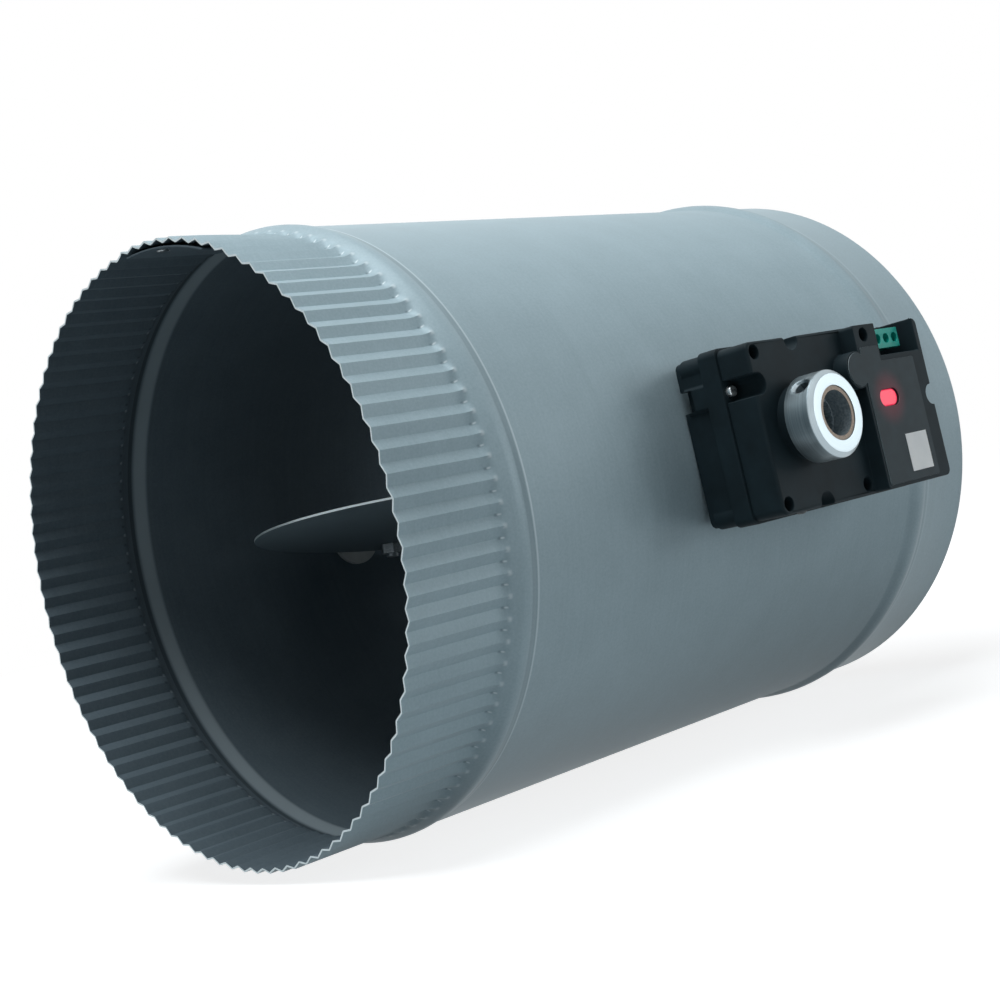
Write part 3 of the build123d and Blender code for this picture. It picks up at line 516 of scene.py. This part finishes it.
# %% [markdown]
# The light is a clear red lens over a lamp, lit in the picture, so the lens gives off a little of its
# own colour. A faint ripple breaks up its gloss, as moulding does.

# %% Red lens
RIPPLE = 1.5            # sizes in millimetres
RIPPLE_DEPTH = 0.05
RIPPLE_STRENGTH = 0.4
lens, tree, shader = finish(
    "red_acrylic_lens", "#B02038", metallic=0.0, roughness=0.25, Specular_IOR_Level=0.3,
    Emission_Color=linear("#F73D5D"), Emission_Strength=0.8)
relief(tree, shader, grain(tree, RIPPLE), RIPPLE_DEPTH, RIPPLE_STRENGTH)

# %% [markdown]
# The film on the housing is matt polyester, dark and without shine, with its cut edge painted paler as
# a highlight. The lens's glow creeps into it, which is drawn as a dim red that fades with the distance
# from the lens. A real lamp behind the film would do the same, but with far more noise in the picture.

# %% Film around the lens
FILM_TONE = 6.0         # sizes in millimetres
FILM_TOOTH = 0.4
FILM_DEPTH = 0.015
FILM_STRENGTH = 0.5
GLOW = 0.11
GLOW_FROM = 4.0
GLOW_REACH = 11.0
# The cut edge's paler colour is a painted highlight.
film_edge_highlight = moulded("cut_polyester_film_painted_highlight", "#5F6D73", "#76858B", roughness=0.4)
film, tree, shader = finish(
    "matt_polyester_film", "#222C31", metallic=0.0, roughness=0.5, Specular_IOR_Level=0.12,
    Emission_Color=linear("#C03A48"))
shade(tree, shader, grain(tree, FILM_TONE, SOFT_LAYERS), "#1A292F", "#22343B")
relief(tree, shader, grain(tree, FILM_TOOTH), FILM_DEPTH, FILM_STRENGTH)
lens_centre = (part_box("led_window")[0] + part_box("led_window")[1]) / 2
place = add(tree, "ShaderNodeTexCoord")
from_lens = add(tree, "ShaderNodeMapping", {
    "Vector": place.outputs["Object"], "Location": (-lens_centre.x, -lens_centre.y, -lens_centre.z)})
far = add(tree, "ShaderNodeVectorMath", {0: from_lens.outputs[0]}, operation="LENGTH")
fade = add(tree, "ShaderNodeMapRange", {
    "Value": far.outputs["Value"], "From Min": GLOW_FROM * MM, "From Max": GLOW_REACH * MM,
    "To Min": GLOW, "To Max": 0.0}, interpolation_type="SMOOTHSTEP")
tree.links.new(fade.outputs["Result"], shader.inputs["Emission Strength"])

# %% [markdown]
# A piece made here is a bmesh that becomes an object at the origin, with its place in its points, as
# the frame's own pieces have. Small functions do what every piece needs: make the object, name the
# body it moves with, and hide the piece of the frame that it stands for.

# %% Helpers for pieces
SMOOTH_BELOW = 40.0    # degrees between two faces that still shade as one surface


def piece(name, shape, materials, body, slot, *stands_for):
    """Turns a bmesh into a named piece that rides on a body."""
    mesh = bpy.data.meshes.new(name)
    shape.to_mesh(mesh)
    shape.free()
    for material in materials:
        mesh.materials.append(material)
    made = bpy.data.objects.new(name, mesh)
    bpy.context.scene.collection.objects.link(made)
    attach(made, body)
    if stands_for:
        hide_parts(*stands_for)
    return made


def smooth(shape, sharp_angle=SMOOTH_BELOW):
    """Smooth shading, with the edges that turn by an angle or more kept sharp."""
    for face in shape.faces:
        face.smooth = True
    for edge in shape.edges:
        edge.smooth = edge.calc_face_angle(math.pi) < math.radians(sharp_angle)


# %% [markdown]
# The tube is rolled from 0.55 mm sheet and drawn as one lengthwise line of points, spun about the
# duct's axis. Each bead is a round-topped swelling between two straight runs. A Solidify modifier gives
# the sheet its thickness in the end, which is simpler than drawing the inside too.

# %% Sizes of the tube
SHEET = 0.55                         # sizes in millimetres
BORE_RADIUS = 101.6
OUTER_RADIUS = BORE_RADIUS + SHEET
LENGTH = 291.0
PLAIN_BEAD = (-33.2, 13.0, 2.0)      # middle, width and height
CRIMPED_BEAD = (-247.2, 10.0, 0.9)
BEAD_STEPS = 12
BEAD_FULLNESS = 1.3                  # 1 is a plain sine, and more gives it softer roots
RIM_EDGE = 0.3                       # the short last row at either rim
CRIMP_END = -254.0                   # where the crimps start to fade
SHRINK_FROM = -257.0                 # between these two places the tube gets narrower
SHRINK_TO = -248.0
RIM_ROWS = (0, RIM_EDGE, 5, 12, 20, 28)    # rows of points on the crimps, from the rim inwards
SHRINK_ROW = 1.5                     # one more row, past the start of the narrowing
FOOT_LEAD = 0.8                      # how far before the crimps' end the fine rows start
FOOT_STEPS = 5


def bead_line(middle_at, width, height):
    """Points of a bead: a rounded crown with soft roots."""
    points = []
    for step in range(BEAD_STEPS + 1):
        share = step / BEAD_STEPS
        rise = height * math.sin(math.pi * share) ** BEAD_FULLNESS
        points.append((middle_at + (share - 0.5) * width, OUTER_RADIUS + rise))
    return points


def tube_line():
    """Lengthwise line of the tube's outside, from the crimped rim to the plain one."""
    runs = [-LENGTH + row for row in RIM_ROWS] + [SHRINK_FROM, SHRINK_FROM + SHRINK_ROW]
    bead_start = CRIMPED_BEAD[0] - CRIMPED_BEAD[1] / 2
    foot_length = bead_start - CRIMP_END + FOOT_LEAD
    runs += [CRIMP_END - FOOT_LEAD + foot_length * step / FOOT_STEPS for step in range(FOOT_STEPS)]
    line = [(x, OUTER_RADIUS) for x in runs]
    line += bead_line(*CRIMPED_BEAD) + bead_line(*PLAIN_BEAD)
    return line + [(-RIM_EDGE, OUTER_RADIUS), (0.0, OUTER_RADIUS)]


# %% [markdown]
# The crimps are pressed in afterwards: every point near the crimped end moves in by a wave of its
# angle. The wave is an arcsine of a cosine, which is two flats with a rounded fold, and it fades out
# over the last millimetres. There the end also gets narrower, so that it fits into the next tube. The
# crimping jaws leave a small raised pip at the end of each crest, and at the seam the outer layer
# stands up a little, with a lip.

# %% Sizes and form of the crimps
STEPS_A_CRIMP = 8
CRIMP_FADE = 2.0       # sizes in millimetres
CRIMP_DEPTH = 1.35
ROUNDED_FOLD = 0.998   # 1 is a sharp fold
RIM_SHRINK = 1.85
PIP_HEIGHT = 0.22
PIP_LENGTH = 1.0
PIP_POINT = 3          # a higher power makes the pip narrower
LAP_FROM = 58.0        # angles in degrees between which the outer layer of the seam stands up
LAP_TO = 91.5
LAP_RISE = 8.0         # degrees over which it rises, and half of those over which it drops
LAP_DROP = 0.3
LAP_LIFT = 0.6         # millimetres
LAP_SETTLE = 8.0       # millimetres from the rim where it starts to settle down


def ease(value, start, end):
    """0 before the start, 1 after the end and a soft slope between."""
    share = min(1.0, max(0.0, (value - start) / (end - start)))
    return share * share * (3 - 2 * share)


def valley_press(x):
    """How deep a valley is at a place along the tube, in millimetres."""
    return CRIMP_DEPTH * (1 - ease(x, CRIMP_END, CRIMP_END + CRIMP_FADE))


def tube_shrink(x):
    """How much narrower the radius is at a place along the tube, in millimetres."""
    return RIM_SHRINK * (1 - ease(x, SHRINK_FROM, SHRINK_TO))


def pressed_radius(x, radius, angle):
    """Radius of a point on the crimped end, in millimetres."""
    if x > SHRINK_TO:
        return radius
    degrees = math.degrees(angle)
    wave = math.cos(CRIMPS * math.radians(degrees - CREST_AT))
    fold = math.asin(ROUNDED_FOLD * wave) / math.asin(ROUNDED_FOLD)
    pressed = (0.5 - 0.5 * fold) * valley_press(x)
    past_pip = (x - CRIMP_END - CRIMP_FADE / 2) / PIP_LENGTH
    pip = PIP_HEIGHT * max(0.0, fold) ** PIP_POINT * math.exp(-past_pip ** 2)
    rise = ease(degrees, LAP_FROM, LAP_FROM + LAP_RISE)
    lap = rise * (1 - ease(degrees, LAP_TO - LAP_DROP, LAP_TO + LAP_DROP))
    lifted = LAP_LIFT * lap * (1 - ease(x, -LENGTH + LAP_SETTLE, CRIMP_END))
    return radius - tube_shrink(x) - pressed + pip + lifted


# %% Roll the tube
TUBE_CREASE = 28.0     # degrees, below the crimps' own folds
shape = bmesh.new()
line = [shape.verts.new((x * MM, 0, radius * MM)) for x, radius in tube_line()]
for start, end in zip(line, line[1:]):
    shape.edges.new((start, end))
bmesh.ops.spin(shape, geom=shape.verts[:] + shape.edges[:], cent=(0, 0, 0), axis=(1, 0, 0),
               dvec=(0, 0, 0), angle=2 * math.pi, steps=CRIMPS * STEPS_A_CRIMP, use_merge=True)
for vertex in shape.verts:
    x, y, z = (value / MM for value in vertex.co)
    angle = math.atan2(z, -y) + math.radians(CREST_AT)
    radius = pressed_radius(x, math.hypot(y, z), angle)
    vertex.co = Vector((x, -radius * math.cos(angle), radius * math.sin(angle))) * MM
bmesh.ops.recalc_face_normals(shape, faces=shape.faces)
smooth(shape, TUBE_CREASE)
tube = piece("rolled_duct", shape, [sheet_outside, tube_inside_shaded, sheet_edge_highlight], "duct", "galvanised",
             "duct_shell")
# The wall grows inwards. The inside takes the second material, painted shade, and the rims take the
# third, the cut edge's painted highlight.
wall = tube.modifiers.new("sheet_wall", "SOLIDIFY")
wall.thickness = SHEET * MM
wall.offset = -1.0
wall.material_offset = 1
wall.material_offset_rim = 2
print("tube faces", len(tube.data.polygons))

# %% [markdown]
# The blade, the moulded halves of the housing and the small parts have the right form already. What
# they lack is the small round on every edge that catches the light, so each is a copy of its frame
# piece, merged and bevelled. A Weighted Normal modifier then lets the large faces rule the shading, so
# that flats stay flat beside their rounded edges.

# %% Helpers for softened copies
SAME_POINT = 0.001 * MM             # points closer than this are merged
FLAT_ANGLE = math.radians(0.5)      # faces that turn by less than this are joined
BEVEL_ABOVE = math.radians(28.0)    # edges that turn by more than this are rounded


def merged_copy(node):
    """A closed copy of a frame piece, whose own mesh is loose triangles."""
    shape = bmesh.new()
    shape.from_mesh(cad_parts[node].data)
    bmesh.ops.remove_doubles(shape, verts=shape.verts, dist=SAME_POINT)
    bmesh.ops.dissolve_limit(shape, angle_limit=FLAT_ANGLE, verts=shape.verts, edges=shape.edges)
    return shape


def round_edges(shape, edges, width, segments):
    """Rounds some edges; the width is in millimetres."""
    bmesh.ops.bevel(shape, geom=edges, offset=width * MM, offset_type="OFFSET", segments=segments,
                    profile=0.5, affect="EDGES", clamp_overlap=False, material=-1)


def dress(node, name, width, material, body, slot, segments=2, reshape=None):
    """Stands a softened copy in for a frame piece; the width of its rounds is in millimetres."""
    shape = merged_copy(node)
    if reshape:
        reshape(shape)
    bmesh.ops.triangulate(shape, faces=shape.faces, quad_method="BEAUTY", ngon_method="BEAUTY")
    sharp = [edge for edge in shape.edges if edge.is_manifold and edge.calc_face_angle() > BEVEL_ABOVE]
    round_edges(shape, sharp, width, segments)
    smooth(shape)
    made = piece(name, shape, [material], body, slot, node)
    weigh = made.modifiers.new("even_normals", "WEIGHTED_NORMAL")
    weigh.keep_sharp = True
    print(name, "faces", len(made.data.polygons))
    return made


def edge_finish(made, material, facing, spread=0.9):
    """Gives a second finish to the faces that look away from a flat piece's two sides."""
    made.data.materials.append(material)
    for face in made.data.polygons:
        if abs(face.normal.dot(facing)) < spread:
            face.material_index = 1


# %% [markdown]
# The lap of the seam lies against the inside of the crimps. The frame's crimped end narrows evenly
# towards the rim, and the tube drawn here narrows at once, just past the bead. So the lap is cut across
# in a few places and pressed in by the difference, or it would show through the tube. Small bright
# rivets hold it.

# %% Lap of the seam and its rivets
LAP_CUTS = range(-264, -252)    # places along the tube in millimetres
FRAME_ROOT = -255.0             # the frame's own crimps and taper, in millimetres
FRAME_FADE = 2.5
FRAME_DEPTH = 1.4
FRAME_SHRINK = 2.0


def frame_press(x):
    """How deep the frame's own crimps and taper press the lap of the seam, in millimetres."""
    fade = min(1.0, max(0.0, (x - FRAME_ROOT) / FRAME_FADE))
    return FRAME_DEPTH * (1 - fade) + FRAME_SHRINK * max(0.0, FRAME_ROOT - x) / (LENGTH + FRAME_ROOT)


def follow_tube(shape):
    """Presses the lap of the seam in as far as the tube drawn here."""
    for x in LAP_CUTS:
        bmesh.ops.bisect_plane(shape, geom=shape.verts[:] + shape.edges[:] + shape.faces[:],
                               plane_co=(x * MM, 0, 0), plane_no=(1, 0, 0))
    for vertex in shape.verts:
        x = vertex.co.x / MM
        if x < SHRINK_TO:
            radius = math.hypot(vertex.co.y, vertex.co.z)
            deeper = max(0.0, valley_press(x) + tube_shrink(x) - frame_press(x))
            share = (radius - deeper * MM) / radius
            vertex.co = (vertex.co.x, vertex.co.y * share, vertex.co.z * share)


dress("seam_lap", "lap_of_the_seam", 0.12, sheet_inside_shaded, "duct", "galvanised", reshape=follow_tube)
dress("seam_rivets", "rivets_of_the_seam", 0.45, plated, "duct", "plated_steel", segments=3)

# %% [markdown]
# The blade is a flat disc, a little open in the picture. Its two sides have a darker skin of painted
# shade, and its rim the cut edge, painted bright as a highlight, that draws it as a thin line. The
# housing's halves are the same black plastic.

# %% Blade and housing
BLADE_TILT = math.radians(7.5)
blade = dress("blade", "flat_blade", 0.15, blade_skin_shaded, "blade", "galvanised")
# The rim gets the cut edge's painted highlight.
edge_finish(blade, sheet_edge_highlight, Vector((math.sin(BLADE_TILT), 0, math.cos(BLADE_TILT))))
dress("actuator_base", "housing_rear_half", 0.3, housing, "duct", "housing_plastic")
dress("actuator_cover", "housing_front_half", 0.35, housing, "duct", "housing_plastic")

# %% [markdown]
# The collar clamps the sleeve on the shaft. Its face is bright, and its side is painted darker as
# shade, so the two get different finishes by where their faces look. The sleeve is pressed from powder,
# and the bore inside it is broached: the faces nearer to the shaft's line than its mouth, behind the
# front rim.

# %% Collar and sleeve
SHAFT_WAY = Vector((0, 1, 0))
SIDE_SPREAD = 0.6       # a face whose normal has less than this share along the shaft is the side
BORE_MOUTH = 7.5        # millimetres
FRONT_RIM = 0.5
collar = dress("clamp_collar", "turned_collar", 0.18, collar_metal, "blade", "collar_aluminium")
# The side faces take the painted shade.
edge_finish(collar, collar_side_shaded, SHAFT_WAY, SIDE_SPREAD)
sleeve = dress("hub_sleeve", "serrated_sleeve", 0.12, sleeve_metal, "blade", "sleeve_steel")
sleeve.data.materials.append(bore_metal)
bore_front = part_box("hub_sleeve")[0].y + FRONT_RIM * MM
for face in sleeve.data.polygons:
    off = face.center - shaft_line
    if math.hypot(off.x, off.z) < BORE_MOUTH * MM and face.center.y > bore_front:
        face.material_index = 1

# %% [markdown]
# What is left is small: the wire terminal, the lit lens, the film and the bare square on it, and the
# nuts and bolts that hold the blade on its shaft.

# %% Terminal, lens, film and blade fixings
dress("terminal_block", "wire_terminal", 0.15, terminal, "duct", "terminal_plastic")
dress("led_window", "lit_lens", 0.5, lens, "duct", "led_red", segments=3)
overlay = dress("face_overlay", "overlay_sheet", 0.08, film, "duct", "overlay_film")
# The film's edge faces take the painted highlight.
edge_finish(overlay, film_edge_highlight, SHAFT_WAY)
dress("blank_label", "bare_label", 0.05, paper, "duct", "label_paper")
dress("blade_nuts", "blade_nuts_dressed", 0.3, bore_metal, "blade", "plated_steel")
dress("blade_bolts", "blade_bolts_dressed", 0.3, bore_metal, "blade", "plated_steel")

# %% [markdown]
# The screws need a cross recess in the head. Each head's flat top is cut by lines along the sides of
# the cross, and the pieces that lie in the cross are pushed down. The recess gets the dark blackened
# finish as painted shade, because little light reaches the bottom of it. A Boolean cut would do the
# same, but it leaves long thin faces.

# %% Helpers for the cross
LEVEL = 0.01 * MM      # points this close to the heads' tops lie on them
HEAD_REACH = 5.0       # millimetres round a head's middle that hold no other screw
SHANK_SHARE = 0.75     # what is wider than this share of the head belongs to the head
CROSS_SIDES = ((1, 0, 0), (-1, 0, 0), (0, 0, 1), (0, 0, -1))


def on_top(part, top):
    """Whether an edge or a face lies level with the heads' tops."""
    return all(abs(vertex.co.y - top) < LEVEL for vertex in part.verts)


def beside(vertex, centre):
    """How far a point lies from a screw's own line."""
    return math.hypot(vertex.co.x - centre.x, vertex.co.z - centre.z)


def narrow_head(shape, centre, share):
    """Narrows a screw's head to a share of its width, and leaves the shank."""
    near = [vertex for vertex in shape.verts if beside(vertex, centre) < HEAD_REACH * MM]
    widest = max(beside(vertex, centre) for vertex in near)
    for vertex in near:
        off = Vector((vertex.co.x - centre.x, 0, vertex.co.z - centre.z))
        if off.length > SHANK_SHARE * widest:
            vertex.co -= off * (1 - share)


def press_cross(shape, centre, top, arm, reach, depth):
    """Presses a cross into one head and returns the faces of its bottom; sizes in millimetres."""
    for side in CROSS_SIDES:
        for distance in (arm / 2, reach):
            cap = [face for face in shape.faces if on_top(face, top)
                   and (face.calc_center_bounds() - centre).length < 2 * reach * MM]
            around = {edge for face in cap for edge in face.edges}
            around |= {vertex for face in cap for vertex in face.verts}
            bmesh.ops.bisect_plane(shape, geom=cap + list(around), plane_no=side,
                                   plane_co=centre + Vector(side) * distance * MM)
    inside = []
    for face in shape.faces:
        off = face.calc_center_bounds() - centre
        long, short = sorted((abs(off.x), abs(off.z)), reverse=True)
        if abs(off.y) < LEVEL and long < reach * MM and short < arm / 2 * MM:
            inside.append(face)
    pushed = bmesh.ops.extrude_face_region(shape, geom=inside)["geom"]
    bmesh.ops.translate(shape, vec=(0, depth * MM, 0),
                        verts=[part for part in pushed if isinstance(part, bmesh.types.BMVert)])
    return [part for part in pushed if isinstance(part, bmesh.types.BMFace)]


# %% Screws with a cross recess
HEAD_SEGMENTS = 3
HEAD_CREASE = 35.0     # degrees


def cross_headed(node, name, material, rounding, arm, reach, depth, head_share=1.0):
    """Copy of a frame piece's screws, with rounded heads that carry a cross; sizes in millimetres."""
    shape = merged_copy(node)
    top = min(vertex.co.y for vertex in shape.verts)
    round_edges(shape, [edge for edge in shape.edges if on_top(edge, top)], rounding, HEAD_SEGMENTS)
    centres = [face.calc_center_bounds() for face in shape.faces if on_top(face, top)]
    recess = set()
    for centre in centres:
        narrow_head(shape, centre, head_share)
        recess.update(press_cross(shape, centre, top, arm, reach, depth))
    for face in list(recess):
        recess.update(wall for edge in face.edges for wall in edge.link_faces)
    # The recess and its walls take the dark finish as painted shade.
    for face in recess:
        face.material_index = 1
    smooth(shape, HEAD_CREASE)
    print(name, "faces", len(shape.faces), "of them in the cross", len(recess))
    return piece(name, shape, [material, blackened], "duct", "plated_steel", node)


cross_headed("side_screw", "side_screw_dressed", plated,
             rounding=0.4, arm=0.65, reach=1.2, depth=1.0, head_share=0.67)
cross_headed("cover_screws", "cover_screws_dressed", blackened,
             rounding=0.5, arm=0.7, reach=1.25, depth=0.8)
cross_headed("mounting_screws", "mounting_screws_dressed", blackened,
             rounding=0.7, arm=0.9, reach=1.6, depth=1.0)

# %% [markdown]
# Every other piece keeps the frame's own form. It gets the finish of what it is made of, by giving that
# material to its slots.

# %% Finishes for the pieces that stay
finishes = {
    bore_metal: ["drive_shaft"],
    plated: ["shaft_retainer", "plate_screws", "board_screws", "gear_pins", "gear_plate"],
    blackened: ["terminal_screws", "collar_set_screw"],
    nylon: ["drive_bearing"],
    natural_nylon: ["idle_bearing"],
    acetal: ["output_gear", "second_gear", "first_gear", "limit_cam"],
    brass: ["motor_pinion"],
    dull_plate: ["motor_can"],
    switch_case: ["open_limit_switch", "closed_limit_switch", "control_relay"],
    board: ["circuit_board"],
    lens: ["status_led"],
}
for material, names in finishes.items():
    for name in names:
        for node_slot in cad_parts[name].material_slots:
            node_slot.link = "OBJECT"
            node_slot.material = material
print("pieces that keep the frame's form", sum(len(names) for names in finishes.values()))

# %% [markdown]
# Both boxes, of the frame and of the finished model, are printed.

# %% Sizes
boxes = {"cad": cad_box, "visual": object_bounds()}
for name, box in boxes.items():
    print(name, [round(value / MM, 2) for corner in box for value in corner])
